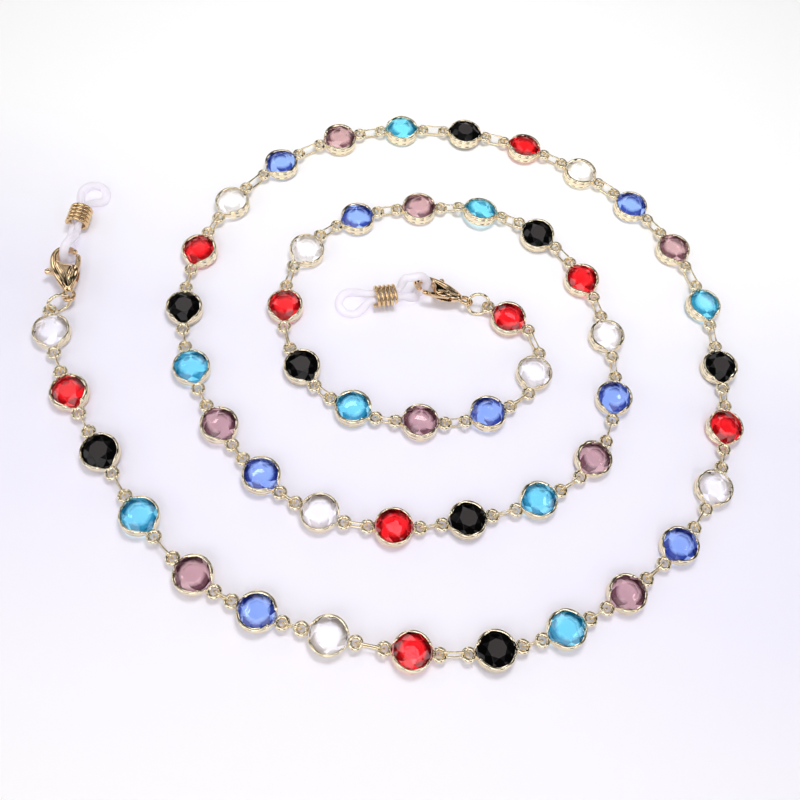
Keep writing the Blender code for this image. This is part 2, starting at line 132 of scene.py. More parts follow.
# Link, jump ring, clasp, silicone loop and coil
LINK_RADIUS = 1.05 * MM
LINK_WIRE = 0.20 * MM
RING_RADIUS = 2.15 * MM
RING_WIRE = 0.32 * MM
RING_LIFT = 0.04 * MM
SEAM = math.radians(1.6)
TIP_SIZE = 0.80
PIVOT = Vector((3.6, -0.6, 0.0)) * MM
TAIL_SEAT = 0.72 * MM
COIL_TURNS = 5
COIL_TURN_STEPS = 40
COIL_PITCH = 0.86 * MM
COIL_WIRE = 0.34 * MM
COIL_RADIUS = 1.87 * MM
COIL_HALF = 2.2 * MM
STRAND_RADIUS = 0.84 * MM
COIL_STRAND_RADIUS = 0.66 * MM
STRAND_CLEARANCE = 0.05 * MM
SQUEEZE_RUN = 0.9 * MM
HOOK_BEND = 2.02 * MM
COIL_BEND = 0.74 * MM
TEMPLE_BEND = 2.55 * MM
# How far the strands have turned level where they enter the coil and where they leave it, and how much
# sooner than the end of the run before it and after it they have done so
TWIST_IN = 0.62
TWIST_OUT = 0.82
TWIST_HASTE = (1.25, 1.2)
# Number of stations from the hook to the coil, inside it, and from there to the temple bend
HOOK_STEPS = 21
COIL_STEPS = 7
TEMPLE_STEPS = 18
# Shares of a run: where the bulge and the waist end, where the temple loop starts to open, and the small
# step by which a direction is found; and how strongly the strands leave the hook straight on
BULGE_END = 0.7
WAIST_END = 0.88
OPENING_FROM = 0.08
NUDGE = 0.01
HOOK_SLOPE = 0.8
# Each end's silicone: the temple bend from the coil's middle, in millimetres, where the waist starts,
# its bulge, and how far it leans from the clasp at the hook, in degrees
LOOPS = {
    "outer": {"temple": (0.4, 6.5, -1.46), "narrowing": 0.05, "bulge": 0.0, "lean": 28},
    "inner": {"temple": (-6.1, -2.35, -1.48), "narrowing": 0.3, "bulge": 0.35 * MM, "lean": 35},
}

# Clasp in its own plane, in millimetres: x from the tail eye to the hook, y towards the hook's arm
# The cast arm and housing as (x, y, radius), and the flatter belly's outline between them
ARM = [
    (0.9, 0.1, 0.70), (2.0, 0.45, 1.02), (3.6, 1.1, 1.20), (5.4, 1.80, 1.14), (7.0, 2.15, 1.00),
    (8.4, 2.10, 0.90), (9.4, 1.65, 0.84), (10.0, 0.85, 0.79), (10.1, -0.1, 0.74), (9.8, -0.9, 0.68),
    (9.35, -1.55, 0.60), (9.0, -2.0, 0.52),
]
BELLY = [
    (1.2, -0.7), (2.4, -1.5), (3.8, -2.1), (5.2, -2.3), (6.0, -1.9), (6.2, -0.9), (6.4, 0.1), (7.0, 1.0),
    (7.6, 1.7), (6.0, 2.1), (4.0, 1.7), (2.4, 1.1), (1.2, 0.7),
]
BELLY_HALF = 0.74
STATION_STEPS = 5
HOUSING = [(0.9, -0.1, 0.60), (2.1, -0.55, 0.90), (3.4, -1.0, 1.08), (4.7, -1.3, 1.05), (5.6, -1.4, 0.85)]
LEVER_OUTLINE = [
    (2.6, -0.6), (2.9, -1.35), (3.8, -1.7), (5.6, -2.42), (7.2, -2.75), (8.2, -2.62), (8.6, -2.25),
    (8.5, -1.85), (7.2, -1.78), (5.9, -1.4), (4.9, -0.3), (5.6, 1.4), (6.0, 2.6), (6.2, 3.6),
    (5.75, 4.1), (5.1, 3.9), (4.8, 2.6), (4.3, 1.2), (3.3, 0.45), (2.75, 0.0),
]
LEVER_HALF = 0.32
# The lever's round swellings outside the slot, as (x, y, radius)
GATE = [(6.6, -2.2, 0.30), (7.3, -2.27, 0.46), (7.9, -2.28, 0.50), (8.35, -2.2, 0.44)]
TAB = [(5.35, 3.0, 0.34), (5.5, 3.5, 0.52), (5.6, 3.85, 0.56), (5.65, 4.1, 0.42)]
# The slot's outline and half width, the tail eye, and the pin as (height, radius)
SLOT = [(2.42, -4.0), (6.5, -4.0), (6.5, 4.0), (2.42, 4.0)]
SLOT_HALF = 0.48
TAIL_CENTRE = Vector((-0.25, 0, 0)) * MM
TAIL_LENGTH = 1.2 * MM
TAIL_WIDTH = 1.0 * MM
TAIL_WIRE = 0.42 * MM
PIN = [
    (-1.07, 0.10), (-1.05, 0.30), (-0.98, 0.42), (-0.90, 0.44), (0.90, 0.44), (0.98, 0.42), (1.05, 0.30),
    (1.07, 0.10),
]
SPRING_START = Vector((2.75, 1.05, 0)) * MM
SPRING_AXIS = Vector((0.95, 0.32, 0))
SPRING_TURNS = 6
SPRING_STEPS = 14
SPRING_PITCH = 0.145 * MM
SPRING_RADIUS = 0.24 * MM
SPRING_WIRE = 0.05 * MM

# Crystal colours: the painted shade on the deepest facets, then the table with its painted light (on the
# black stone a painted reflection)
STONE_SHADE_AND_LIGHT = {
    "clear": ((0.46, 0.42, 0.36), (1.0, 1.0, 1.0)),
    "red": ((0.12, 0.002, 0.004), (1.0, 0.11, 0.13)),
    "black": ((0.001, 0.001, 0.001), (0.045, 0.040, 0.040)),
    "aqua": ((0.01, 0.14, 0.24), (0.43, 0.86, 0.98)),
    "amethyst": ((0.07, 0.025, 0.035), (0.77, 0.60, 0.61)),
    "blue": ((0.007, 0.014, 0.14), (0.53, 0.67, 0.98)),
}
GLASS_IOR = 1.56
BLACK_IOR = 1.30
SILICONE_IOR = 1.41


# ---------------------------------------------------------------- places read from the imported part

def joint_point(name):
    return Vector(JOINTS[name]["pos_m"])


def joint_axis(name):
    return Vector(JOINTS[name]["axis"]).normalized()


def body_of(node):
    return NODES[node]["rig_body"]


def corners_of(node):
    """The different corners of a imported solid."""
    return [Vector(c) for c in {tuple(round(x, 6) for x in v.co) for v in NODES[node].data.vertices}]


def middle(points):
    return sum(points, Vector()) / len(points)


def basis(origin, x_axis, z_axis):
    """A matrix whose X is x_axis and whose Z is as near z_axis as that allows."""
    x = x_axis.normalized()
    y = z_axis.cross(x).normalized()
    z = x.cross(y)
    return Matrix.Translation(origin) @ Matrix((x, y, z)).transposed().to_4x4()


def crystal_centre(node):
    """A crystal's middle: above the middle of the ring of corners of its lower table."""
    resting = [corner for corner in corners_of(node) if corner.z < RESTING_BELOW]
    span = max((corner - middle(resting)).length for corner in resting)
    ring = [corner for corner in resting if (corner - middle(resting)).length > span / 2]
    return middle(ring) + UP * MID_HEIGHT


CENTRES = [crystal_centre(node) for node in CRYSTALS]


def link_run(number):
    """Where the link after crystal number (from 1) crosses the next crystal's eye, and its direction."""
    name = f"stone_hinge_{number:02d}"
    along = joint_axis(name).cross(UP).normalized()
    if along.dot(CENTRES[number] - joint_point(name)) < 0:
        along = -along
    return joint_point(name), along


def crystal_place(number):
    """A crystal's frame: X along the chain towards the inner end, Z up."""
    centre = CENTRES[number - 1]
    if number == 1:
        rear = joint_point("ring_swing_outer")
    else:
        crossing, along = link_run(number - 1)
        rear = crossing + along * EYE_RADIUS
    heading = centre - rear
    heading.z = 0
    return basis(centre, heading, UP)


def crystal_tilt(number):
    """How far a crystal has settled off level: a small turn about its chain axis and across it."""
    chance = random.Random(number * 7 + 3)
    roll = math.radians(FAR_ROLLED.get(number, chance.uniform(-ROLL_MOST, ROLL_MOST)))
    pitch = math.radians(chance.uniform(-PITCH_MOST, PITCH_MOST))
    table_dip = TABLE_RADIUS * math.sin(abs(roll) + abs(pitch))
    bezel_dip = CHANNEL_RADIUS * math.sin(abs(roll)) + LIP_TOP * math.cos(roll) - TABLE_HEIGHT
    lift = Matrix.Translation(Vector((0, 0, max(table_dip, bezel_dip) * MM)))
    return lift @ Matrix.Rotation(roll, 4, "X") @ Matrix.Rotation(pitch, 4, "Y")


# ---------------------------------------------------------------- meshes

def add_piece(name, mesh, finish, body, place=None, replaces=()):
    """A finished piece: in place, with its material, riding on its body."""
    obj = bpy.data.objects.new(name, mesh)
    bpy.context.scene.collection.objects.link(obj)
    if place is not None:
        obj.matrix_world = place
    obj.data.materials.clear()
    obj.data.materials.append(finish)
    if replaces:
        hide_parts(*replaces)
    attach(obj, body)
    return obj


def mesh_from(name, work, angle=40):
    """Turns a bmesh into a mesh with outward faces, smooth apart from edges sharper than an angle."""
    bmesh.ops.recalc_face_normals(work, faces=work.faces)
    mesh = bpy.data.meshes.new(name)
    work.to_mesh(mesh)
    work.free()
    mesh.shade_smooth()
    mesh.set_sharp_from_angle(angle=math.radians(angle))
    return mesh


def skin(work, loops, closed):
    """Faces between successive loops of points; a run that isn't closed gets an end face at each end."""
    rings = [[work.verts.new(point) for point in loop] for loop in loops]
    pairs = list(zip(rings, rings[1:]))
    if closed:
        pairs.append((rings[-1], rings[0]))
    for near, far in pairs:
        for index in range(len(near)):
            after = (index + 1) % len(near)
            work.faces.new((near[index], near[after], far[after], far[index]))
    if not closed:
        work.faces.new(list(reversed(rings[0])))
        work.faces.new(rings[-1])


def run_directions(points, closed):
    count = len(points)
    directions = []
    for index in range(count):
        before = points[index - 1] if closed or index else points[0]
        after = points[(index + 1) % count] if closed or index < count - 1 else points[-1]
        directions.append((after - before).normalized())
    return directions


def tube_loops(points, radii, sides, closed=False, stretch=1.0):
    """Round sections along a run of points, carried along it without twisting."""
    directions = run_directions(points, closed)
    side = directions[0].orthogonal().normalized()
    frames = []
    for before, direction in zip([directions[0], *directions], directions):
        side = before.rotation_difference(direction) @ side
        side = (side - direction * side.dot(direction)).normalized()
        frames.append((side, direction.cross(side)))
    spare = 0.0
    if closed:
        carried = directions[-1].rotation_difference(directions[0]) @ frames[-1][0]
        spare = math.atan2(carried.dot(frames[0][1]), carried.dot(frames[0][0]))
    loops = []
    for index, (point, radius) in enumerate(zip(points, radii)):
        across, over = frames[index]
        undo = -spare * index / len(points)
        loop = []
        for step in range(sides):
            turn = 2 * math.pi * step / sides + undo
            offset = across * math.cos(turn) + over * math.sin(turn)
            offset.z *= stretch
            loop.append(point + offset * radius)
        loops.append(loop)
    return loops


def circle(centre, axis_u, axis_v, steps, start=0.0, sweep=2 * math.pi, ends=False):
    last = steps - 1 if ends else steps
    points = []
    for step in range(steps):
        turn = start + sweep * step / last
        points.append(centre + axis_u * math.cos(turn) + axis_v * math.sin(turn))
    return points


def rounded_tips(radius, count, reach):
    """A radius for each point of a wire, drawn in over the last few points at both ends."""
    radii = []
    for index in range(count):
        near = min(index, count - 1 - index) / reach
        radii.append(radius * (TIP_SIZE + (1 - TIP_SIZE) * math.sqrt(min(1.0, near))))
    return radii


def ease(value):
    value = min(1.0, max(0.0, value))
    return value * value * (3 - 2 * value)


# ---------------------------------------------------------------- materials

def node(tree, kind, **values):
    made = tree.nodes.new(kind)
    for key, value in values.items():
        if hasattr(made, key):
            setattr(made, key, value)
        else:
            made.inputs[key.replace("_", " ")].default_value = value
    return made


def start_material(name):
    mat = bpy.data.materials.new(name)
    mat.use_nodes = True
    tree = mat.node_tree
    return mat, tree, tree.nodes["Principled BSDF"]


def object_noise(tree, scale, detail, stretch=(1, 1, 1)):
    """Noise in the piece's own space; scale is in waves per metre."""
    coordinates = node(tree, "ShaderNodeTexCoord")
    mapping = node(tree, "ShaderNodeMapping")
    mapping.inputs["Scale"].default_value = stretch
    noise = node(tree, "ShaderNodeTexNoise", Scale=scale, Detail=detail)
    tree.links.new(coordinates.outputs["Object"], mapping.inputs["Vector"])
    tree.links.new(mapping.outputs["Vector"], noise.inputs["Vector"])
    return noise.outputs["Fac"]


def ramp(tree, source, stops):
    """A colour ramp; stops are (position, colour or grey)."""
    made = node(tree, "ShaderNodeValToRGB")
    elements = made.color_ramp.elements
    while len(elements) < len(stops):
        elements.new(0.5)
    for element, (position, value) in zip(elements, stops):
        element.position = position
        element.color = (*value, 1.0) if isinstance(value, tuple) else (value, value, value, 1.0)
    tree.links.new(source, made.inputs["Fac"])
    return made.outputs["Color"]


def math_node(tree, operation, *values):
    made = node(tree, "ShaderNodeMath", operation=operation)
    for socket, value in zip(made.inputs, values):
        if isinstance(value, (int, float)):
            socket.default_value = value
        else:
            tree.links.new(value, socket)
    return made.outputs[0]


def bump(tree, shader, source, distance, strength):
    made = node(tree, "ShaderNodeBump", Strength=strength, Distance=distance)
    tree.links.new(source, made.inputs["Height"])
    tree.links.new(made.outputs["Normal"], shader.inputs["Normal"])


def gold(name, light, deep, roughness):
    """Plated metal: slightly uneven colour and polish, fine scratches, and a painted highlight: sharp
    convex edges painted paler.
    """
    mat, tree, shader = start_material(name)
    shader.inputs["Metallic"].default_value = 1.0
    clouds = ramp(tree, object_noise(tree, scale=420, detail=3.0), [(0.35, deep), (0.65, light)])
    geometry = node(tree, "ShaderNodeNewGeometry")
    # Painted highlight: sharp convex edges painted a paler colour
    painted_edge_highlight = ramp(tree, geometry.outputs["Pointiness"], [(0.50, 0.0), (0.62, 0.55)])
    mix = node(tree, "ShaderNodeMix", data_type="RGBA")
    tree.links.new(painted_edge_highlight, mix.inputs["Factor"])
    tree.links.new(clouds, mix.inputs["A"])
    mix.inputs["B"].default_value = (*[min(1.0, channel * 1.08 + 0.02) for channel in light], 1.0)
    tree.links.new(mix.outputs["Result"], shader.inputs["Base Color"])
    clouding = object_noise(tree, scale=900, detail=4.0)
    polish = ramp(tree, clouding, [(0.3, roughness * 0.7), (0.75, roughness * 1.6)])
    tree.links.new(polish, shader.inputs["Roughness"])
    scratches = object_noise(tree, scale=2600, detail=3.0, stretch=(1.0, 0.18, 1.0))
    bump(tree, shader, scratches, distance=0.006 * MM, strength=0.35)
    return mat


def from_middle(tree, coordinates):
    """A crystal's painted brightness: painted light at 1 in the middle, falling to painted shade at 0 at
    the girdle.
    """
    mapping = node(tree, "ShaderNodeMapping")
    mapping.inputs["Scale"].default_value = (1 / (GIRDLE_RADIUS * MM),) * 2 + (0.0,)
    gradient = node(tree, "ShaderNodeTexGradient", gradient_type="SPHERICAL")
    tree.links.new(coordinates.outputs["Object"], mapping.inputs["Vector"])
    tree.links.new(mapping.outputs["Vector"], gradient.inputs["Vector"])
    return gradient.outputs["Fac"]


def facet_shade(tree, coordinates, facing_up, deep, light):
    """Painted shade deeper towards the rim and painted light in the middle, with each facet a little deeper
    or lighter by the way it faces as a painted reflection, and facets facing down painted lighter.
    """
    facets = node(tree, "ShaderNodeTexNoise", Scale=5.0, Detail=0.0)
    tree.links.new(coordinates.outputs["Normal"], facets.inputs["Vector"])
    # Painted reflections: each facet a little deeper or lighter by the way it faces
    painted_facet_reflections = ramp(tree, facets.outputs["Fac"], [(0.49, 0.0), (0.57, 0.45)])
    # Painted light: facets that face down painted lighter
    painted_light_below = ramp(tree, math_node(tree, "MULTIPLY", facing_up, -1.0), [(0.0, 0.0), (0.3, 0.14)])
    brightness = math_node(tree, "ADD", from_middle(tree, coordinates), painted_facet_reflections)
    # From painted shade at the rim to the table colour with its painted light in the middle
    return ramp(tree, math_node(tree, "ADD", brightness, painted_light_below), [(0.28, deep), (0.47, light)])


def crystal(colour):
    """Cut glass with painted light and shade: a table painted bright and facets painted deeper; the black
    one is opaque, with its up-facing table painted greyer as a painted reflection.
    """
    deep, light = STONE_SHADE_AND_LIGHT[colour]
    mat, tree, shader = start_material(f"crystal_{colour}")
    coordinates = node(tree, "ShaderNodeTexCoord")
    split = node(tree, "ShaderNodeSeparateXYZ")
    tree.links.new(coordinates.outputs["Normal"], split.inputs["Vector"])
    facing_up = split.outputs["Z"]
    if colour == "black":
        # Painted reflection: the up-facing table painted greyer than the near-black facets
        shade = ramp(tree, facing_up, [(0.93, deep), (0.97, light)])
        shader.inputs["IOR"].default_value = BLACK_IOR
    else:
        shade = facet_shade(tree, coordinates, facing_up, deep, light)
        shader.inputs["IOR"].default_value = GLASS_IOR
        shader.inputs["Transmission Weight"].default_value = 1.0
        let_light_through(tree, shader, [math.sqrt(channel) for channel in light])
    tree.links.new(shade, shader.inputs["Base Color"])
    haze = ramp(tree, object_noise(tree, scale=700, detail=3.0), [(0.45, 0.0), (0.85, 0.02)])
    tree.links.new(haze, shader.inputs["Roughness"])
    return mat


def let_light_through(tree, shader, tint):
    """Tinted light reaches what lies under the piece, as it does through real glass, skin by skin."""
    clear = node(tree, "ShaderNodeBsdfTransparent", Color=(*tint, 1.0))
    path = node(tree, "ShaderNodeLightPath")
    mix = node(tree, "ShaderNodeMixShader")
    tree.links.new(path.outputs["Is Shadow Ray"], mix.inputs[0])
    tree.links.new(shader.outputs[0], mix.inputs[1])
    tree.links.new(clear.outputs[0], mix.inputs[2])
    output = next(made for made in tree.nodes if made.type == "OUTPUT_MATERIAL")
    tree.links.new(mix.outputs[0], output.inputs["Surface"])


def silicone(name):
    """Milky soft plastic with cloudy patches and a satin skin."""
    mat, tree, shader = start_material(name)
    patches = object_noise(tree, scale=260, detail=2.0)
    milk = ramp(tree, patches, [(0.3, (0.86, 0.83, 0.88)), (0.7, (0.92, 0.90, 0.94))])
    tree.links.new(milk, shader.inputs["Base Color"])
    skin_polish = ramp(tree, object_noise(tree, scale=1100, detail=3.0), [(0.3, 0.30), (0.8, 0.45)])
    tree.links.new(skin_polish, shader.inputs["Roughness"])
    shader.inputs["IOR"].default_value = SILICONE_IOR
    shader.inputs["Transmission Weight"].default_value = 0.35
    let_light_through(tree, shader, (0.72, 0.70, 0.75))
    return mat


CHANNEL_GOLD = gold("channel_gold", (0.94, 0.84, 0.63), (0.86, 0.73, 0.50), 0.08)
LINK_GOLD = gold("link_gold", (0.92, 0.81, 0.58), (0.83, 0.69, 0.45), 0.09)
CLASP_GOLD = gold("clasp_gold", (0.86, 0.64, 0.40), (0.76, 0.52, 0.29), 0.10)
COIL_GOLD = gold("coil_gold", (0.84, 0.62, 0.34), (0.74, 0.50, 0.25), 0.12)
STONE_FINISH = {colour: crystal(colour) for colour in STONE_SHADE_AND_LIGHT}
SILICONE = silicone("milky_silicone")


# ---------------------------------------------------------------- crystals, channels and links

def stone_ring(work, radius, height, count, offset):
    points = circle(Vector((0, 0, height * MM)), Vector((radius * MM, 0, 0)), Vector((0, radius * MM, 0)),
                    count, math.radians(offset))
    return [work.verts.new(point) for point in points]


def stone_side(work, girdle, side):
    """The facets of one side: table, stars, kites and the small facets along the girdle."""
    half = 180 / STONE_SIDES
    slope = (GIRDLE_HALF - TABLE_HEIGHT) / (GIRDLE_RADIUS - TABLE_RADIUS)
    reach = STAR_RADIUS * math.cos(math.radians(half)) - TABLE_RADIUS
    star_height = TABLE_HEIGHT + reach * slope
    table = stone_ring(work, TABLE_RADIUS, side * TABLE_HEIGHT, STONE_SIDES, 0)
    stars = stone_ring(work, STAR_RADIUS, side * star_height, STONE_SIDES, half)
    work.faces.new(table)
    for index in range(STONE_SIDES):
        after = (index + 1) % STONE_SIDES
        low = 2 * index
        work.faces.new((table[index], table[after], stars[index]))
        work.faces.new((table[after], stars[after], girdle[(low + 2) % len(girdle)], stars[index]))
        work.faces.new((stars[index], girdle[low], girdle[low + 1]))
        work.faces.new((stars[index], girdle[low + 1], girdle[(low + 2) % len(girdle)]))


def stone_mesh(name):
    work = bmesh.new()
    upper = stone_ring(work, GIRDLE_RADIUS, GIRDLE_HALF, 2 * STONE_SIDES, 0)
    lower = stone_ring(work, GIRDLE_RADIUS, -GIRDLE_HALF, 2 * STONE_SIDES, 0)
    stone_side(work, upper, 1)
    stone_side(work, lower, -1)
    for index in range(len(upper)):
        after = (index + 1) % len(upper)
        work.faces.new((upper[index], upper[after], lower[after], lower[index]))
    bmesh.ops.bevel(work, geom=list(work.edges), offset=STONE_BEVEL, segments=1, affect="EDGES")
    mesh = mesh_from(name, work)
    mesh.shade_flat()
    return mesh


def channel_section(cut, reach):
    """The channel's closed outline: the upper lip down its outer side, then the lower lip mirrored."""
    upper = []
    for (radius, height), (cut_radius, cut_height) in zip(LIP, CUT_LIP):
        radius += (cut_radius - radius) * cut
        height += (cut_height - height) * cut
        overhang = max(0.0, 3.26 - radius) / 0.28
        upper.append((radius - reach * overhang, height))
    lower = [(radius, -height) for radius, height in upper[-2:0:-1]]
    return upper + lower


def channel_loops(chance):
    """Sections round the channel: its lips are cut away beside the eyes, where it is pinched outwards."""
    reach = chance.uniform(-0.05, 0.30)
    notch_from = NOTCH_FROM + math.radians(chance.uniform(-2, 3))
    notch_to = NOTCH_TO + math.radians(chance.uniform(-9, 4))
    loops = []
    for step in range(CHANNEL_STEPS):
        turn = 2 * math.pi * step / CHANNEL_STEPS
        side = abs(math.asin(math.sin(turn)))
        cut = 1 - ease((side - notch_from) / (notch_to - notch_from))
        pinch = PINCH * math.exp(-(side / PINCH_WIDTH) ** 2)
        loop = []
        for radius, height in channel_section(cut, reach):
            radius = (radius + pinch) * MM
            loop.append(Vector((radius * math.cos(turn), radius * math.sin(turn), height * MM)))
        loops.append(loop)
    return loops


def neck_loops(side):
    """Rounded sections from the channel's corner to the eye."""
    loops = []
    for reach, width, height in NECK:
        loop = []
        for step in range(16):
            turn = 2 * math.pi * step / 16
            across = math.copysign(abs(math.cos(turn)) ** 0.6, math.cos(turn)) * width
            over = math.copysign(abs(math.sin(turn)) ** 0.6, math.sin(turn)) * height
            loop.append(Vector((side * reach, across, over)) * MM)
        loops.append(loop)
    return loops


def bezel_mesh(name, number):
    work = bmesh.new()
    skin(work, channel_loops(random.Random(number)), True)
    for side in (-1, 1):
        points = circle(Vector((side * EYE_CENTRE, 0, 0)), Vector((EYE_RADIUS, 0, 0)),
                        Vector((0, EYE_RADIUS, 0)), 30)
        radii = [EYE_WIRE] * len(points)
        skin(work, tube_loops(points, radii, sides=12, closed=True, stretch=EYE_STRETCH), True)
        skin(work, neck_loops(side), False)
    return mesh_from(name, work, 50)


def link_mesh(name, start, end, along, lean):
    """An oval of wire on edge, leaning back a little, with its two cut ends meeting on the upper strand."""
    sense = 1.0 if along.x > 0 else -1.0
    rise = Matrix.Rotation(-sense * lean, 3, along) @ UP * LINK_RADIUS
    bow = along * LINK_RADIUS
    seam = (start + end) / 2 + rise
    points = [seam + along * 0.02 * MM, *circle(end, rise, bow, 13, 0, math.pi, True)]
    points += circle(start, -rise, -bow, 13, 0, math.pi, True)
    points.append(seam - along * 0.02 * MM)
    work = bmesh.new()
    skin(work, tube_loops(points, rounded_tips(LINK_WIRE, len(points), reach=1), sides=12), False)
    return mesh_from(name, work)


def build_crystals():
    for number, cad_node in enumerate(CRYSTALS, start=1):
        colour = cad_node.split("_")[2]
        body = body_of(cad_node)
        chance = random.Random(number * 13)
        place = crystal_place(number) @ crystal_tilt(number)
        turned = place @ Matrix.Rotation(chance.uniform(0, 2 * math.pi), 4, "Z")
        stone = f"stone_{number:02d}"
        bezel = f"bezel_{number:02d}"
        add_piece(stone, stone_mesh(stone), STONE_FINISH[colour], body, turned, [cad_node])
        add_piece(bezel, bezel_mesh(bezel, number), CHANNEL_GOLD, body, place)
        if number < COUNT:
            end, along = link_run(number)
            front = crystal_place(number) @ Vector((EYE_CENTRE, 0, 0))
            lean = math.radians(chance.uniform(-4, 16))
            link = f"link_{number:02d}"
            mesh = link_mesh(link, front + along * EYE_RADIUS, end, along, lean)
            add_piece(link, mesh, LINK_GOLD, body)


# ---------------------------------------------------------------- jump rings and clasps

def jump_ring(end):
    """A round wire ring, cut once and closed again."""
    cad_node = f"{end}_jump_ring"
    centre = middle(corners_of(cad_node)) + UP * RING_LIFT
    along = (joint_point(f"clasp_swing_{end}") - centre).normalized()
    slope = joint_axis(f"clasp_swing_{end}")
    points = circle(centre, along * RING_RADIUS, slope * RING_RADIUS, 72, math.pi / 2 + SEAM / 2,
                    2 * math.pi - SEAM, True)
    work = bmesh.new()
    skin(work, tube_loops(points, rounded_tips(RING_WIRE, len(points), reach=1), sides=14), False)
    add_piece(f"{end}_ring", mesh_from(cad_node, work), LINK_GOLD, body_of(cad_node),
              None, [cad_node])


def clasp_place(end):
    """The clasp's own frame, from its seat on the ring, its lever's pivot and the pivot's axis."""
    seat = joint_point(f"clasp_swing_{end}")
    normal = joint_axis(f"clasp_lever_{end}")
    reach = joint_point(f"clasp_lever_{end}") - seat
    lean = math.atan2(PIVOT.y, PIVOT.x + TAIL_SEAT)
    x_axis = (Matrix.Rotation(-lean, 3, normal) @ reach).normalized()
    return basis(seat + x_axis * TAIL_SEAT, x_axis, normal)


def smooth_outline(outline, rounds=2):
    """Corner cutting: each round replaces every corner of a closed outline by two."""
    points = [Vector(point) for point in outline]
    for _ in range(rounds):
        cut = []
        for here, after in zip(points, points[1:] + points[:1]):
            cut.append(here.lerp(after, 0.25))
            cut.append(here.lerp(after, 0.75))
        points = cut
    return points


def plate(work, outline, half):
    loops = []
    for height in (-half, half):
        loops.append([Vector((x, y, height)) * MM for x, y in outline])
    skin(work, loops, False)


def modified(mesh, name, changes):
    """The mesh after a run of modifiers, each (kind, settings)."""
    obj = bpy.data.objects.new(name, mesh)
    bpy.context.scene.collection.objects.link(obj)
    for kind, settings in changes:
        made = obj.modifiers.new(kind, kind)
        for key, value in settings.items():
            setattr(made, key, value)
    bpy.context.view_layer.update()
    graph = bpy.context.evaluated_depsgraph_get()
    result = bpy.data.meshes.new_from_object(obj.evaluated_get(graph), depsgraph=graph)
    bpy.data.objects.remove(obj)
    result.name = name
    result.shade_smooth()
    return result


def swept(work, stations, stretch=1.0):
    """A round bar through (x, y, radius) stations in the clasp's plane, with a smooth run between them."""
    points = []
    radii = []
    for before, here, after, beyond in zip([stations[0], *stations], stations, stations[1:],
                                           [*stations[2:], stations[-1]]):
        for step in range(STATION_STEPS):
            t = step / STATION_STEPS
            rise = [(far - near) / 2 for near, far in zip(before, after)]
            fall = [(far - near) / 2 for near, far in zip(here, beyond)]
            x, y, radius = hermite(Vector(here), Vector(after), Vector(rise), Vector(fall), t)
            points.append(Vector((x, y, 0)) * MM)
            radii.append(radius * MM)
    x, y, radius = stations[-1]
    points.append(Vector((x, y, 0)) * MM)
    radii.append(radius * MM)
    skin(work, tube_loops(points, radii, sides=24, stretch=stretch), False)


def clasp_body_mesh(name):
    """The cast body: arm, belly, housing and tail eye melted together, then slotted for the lever."""
    work = bmesh.new()
    swept(work, ARM, 0.92)
    plate(work, smooth_outline(BELLY), BELLY_HALF)
    swept(work, HOUSING, 0.95)
    tail = circle(TAIL_CENTRE, Vector((TAIL_LENGTH, 0, 0)), Vector((0, TAIL_WIDTH, 0)), 32)
    skin(work, tube_loops(tail, [TAIL_WIRE] * len(tail), sides=12, closed=True), True)
    rounded = modified(mesh_from(name, work), name, [
        ("REMESH", {"mode": "VOXEL", "voxel_size": 0.09 * MM}),
        ("SMOOTH", {"factor": 0.5, "iterations": 30}),
    ])
    cutter = slot_cutter()
    slotted = modified(rounded, name, [
        ("BOOLEAN", {"operation": "DIFFERENCE", "object": cutter, "solver": "EXACT"}),
        ("REMESH", {"mode": "VOXEL", "voxel_size": 0.075 * MM}),
        ("SMOOTH", {"factor": 0.5, "iterations": 4}),
    ])
    bpy.data.objects.remove(cutter)
    return slotted


def slot_cutter():
    work = bmesh.new()
    plate(work, SLOT, SLOT_HALF)
    obj = bpy.data.objects.new("slot_cutter", mesh_from("slot_cutter", work))
    bpy.context.scene.collection.objects.link(obj)
    return obj


def clasp_lever_mesh(name):
    """The gate and thumb tab: a plate in the slot that swells into a round gate and a knob outside it."""
    work = bmesh.new()
    plate(work, smooth_outline(LEVER_OUTLINE, 1), LEVER_HALF)
    for stations in (GATE, TAB):
        points = [Vector((x, y, 0)) * MM for x, y, _ in stations]
        skin(work, tube_loops(points, [radius * MM for *_, radius in stations], sides=16), False)
    return modified(mesh_from(name, work), name, [
        ("REMESH", {"mode": "VOXEL", "voxel_size": 0.06 * MM}),
        ("SMOOTH", {"factor": 0.5, "iterations": 9}),
    ])


def pin_mesh(name):
    """The lever's pin: a short turned rod with a domed head on each side."""
    work = bmesh.new()
    points = [PIVOT + UP * height * MM for height, _ in PIN]
    skin(work, tube_loops(points, [radius * MM for _, radius in PIN], sides=24), False)
    return mesh_from(name, work, 60)


def spring_mesh(name):
    """The small coil spring that pushes the lever's tab back, inside the slot."""
    axis = SPRING_AXIS.normalized()
    side = Vector((-axis.y, axis.x, 0))
    points = []
    for step in range(SPRING_TURNS * SPRING_STEPS + 1):
        turn = 2 * math.pi * step / SPRING_STEPS
        ring = side * math.cos(turn) + UP * math.sin(turn)
        points.append(SPRING_START + axis * SPRING_PITCH * step / SPRING_STEPS + ring * SPRING_RADIUS)
    work = bmesh.new()
    skin(work, tube_loops(points, [SPRING_WIRE] * len(points), sides=6), False)
    return mesh_from(name, work)


